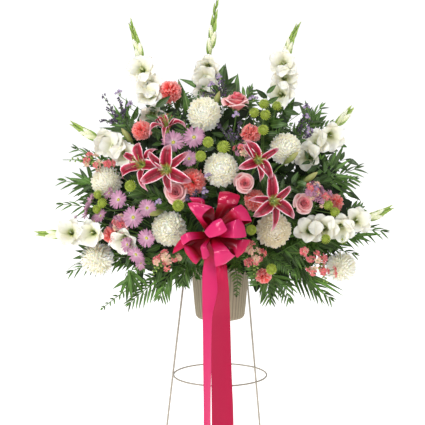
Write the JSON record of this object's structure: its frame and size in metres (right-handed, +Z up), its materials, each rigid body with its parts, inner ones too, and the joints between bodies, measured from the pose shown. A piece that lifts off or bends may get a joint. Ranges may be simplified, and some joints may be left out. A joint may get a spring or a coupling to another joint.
{
  "type": "sympathy flower arrangement on stand",
  "caption": "Fan of mixed flowers and fronds in floral foam, in a ribbed pot hung in a three-legged wire stand, with a ribbon bow and two long tails.",
  "frame": {"origin": "on the floor, under the middle of the whole arrangement's outline seen from above", "axes": "+Z up from the floor, -Y toward the viewer, where the bow is, +X to the viewer's right"},
  "size_m": [0.9551, 0.522, 1.5225],
  "materials": {
    "stand_wire": "satin",
    "pot": "matte",
    "foam": "matte",
    "ribbon": "satin",
    "white_petal": "matte",
    "bud_green": "matte",
    "cream_mum": "matte",
    "lily_crimson": "matte",
    "coral": "matte",
    "rose_pink": "matte",
    "lavender": "matte",
    "pom_green": "matte",
    "stock_red": "matte",
    "aster_lilac": "matte",
    "leaf": "satin"
  },
  "bodies": {
    "root": {"asters": "aster_lilac", "bow": "ribbon", "carnations_left": "coral", "carnations_low": "coral", "carnations_right": "coral", "carnations_top": "coral", "daisies_left": "lavender", "daisies_top": "lavender", "fern_low_left": "leaf", "fern_low_right": "leaf", "foam": "foam", "fronds_back": "leaf", "gladiolus_1": "white_petal", "gladiolus_2": "white_petal", "gladiolus_3": "white_petal", "gladiolus_4": "white_petal", "gladiolus_5": "white_petal", "gladiolus_6": "white_petal", "gladiolus_7": "white_petal", "gladiolus_tip_1": "bud_green", "gladiolus_tip_2": "bud_green", "gladiolus_tip_3": "bud_green", "gladiolus_tip_4": "bud_green", "gladiolus_tip_5": "bud_green", "gladiolus_tip_6": "bud_green", "gladiolus_tip_7": "bud_green", "leaves_top": "leaf", "leg_front": "stand_wire", "leg_left": "stand_wire", "leg_right": "stand_wire", "lily_1": "lily_crimson", "lily_2": "lily_crimson", "lily_3": "lily_crimson", "lily_4": "lily_crimson", "lily_5": "lily_crimson", "mum_1": "cream_mum", "mum_2": "cream_mum", "mum_3": "cream_mum", "mum_4": "cream_mum", "mum_5": "cream_mum", "mum_6": "cream_mum", "mum_7": "cream_mum", "mum_8": "cream_mum", "palm_left": "leaf", "palm_right": "leaf", "poms_left": "pom_green", "poms_right": "pom_green", "pot": "pot", "ring_lower": "stand_wire", "ring_top": "stand_wire", "rose_1": "rose_pink", "rose_2": "rose_pink", "rose_3": "rose_pink", "rose_4": "rose_pink", "rose_5": "rose_pink", "stock_left": "stock_red", "stock_low_left": "stock_red", "stock_low_right": "stock_red", "tail_left": "ribbon", "tail_right": "ribbon"}
  },
  "joints": []
}
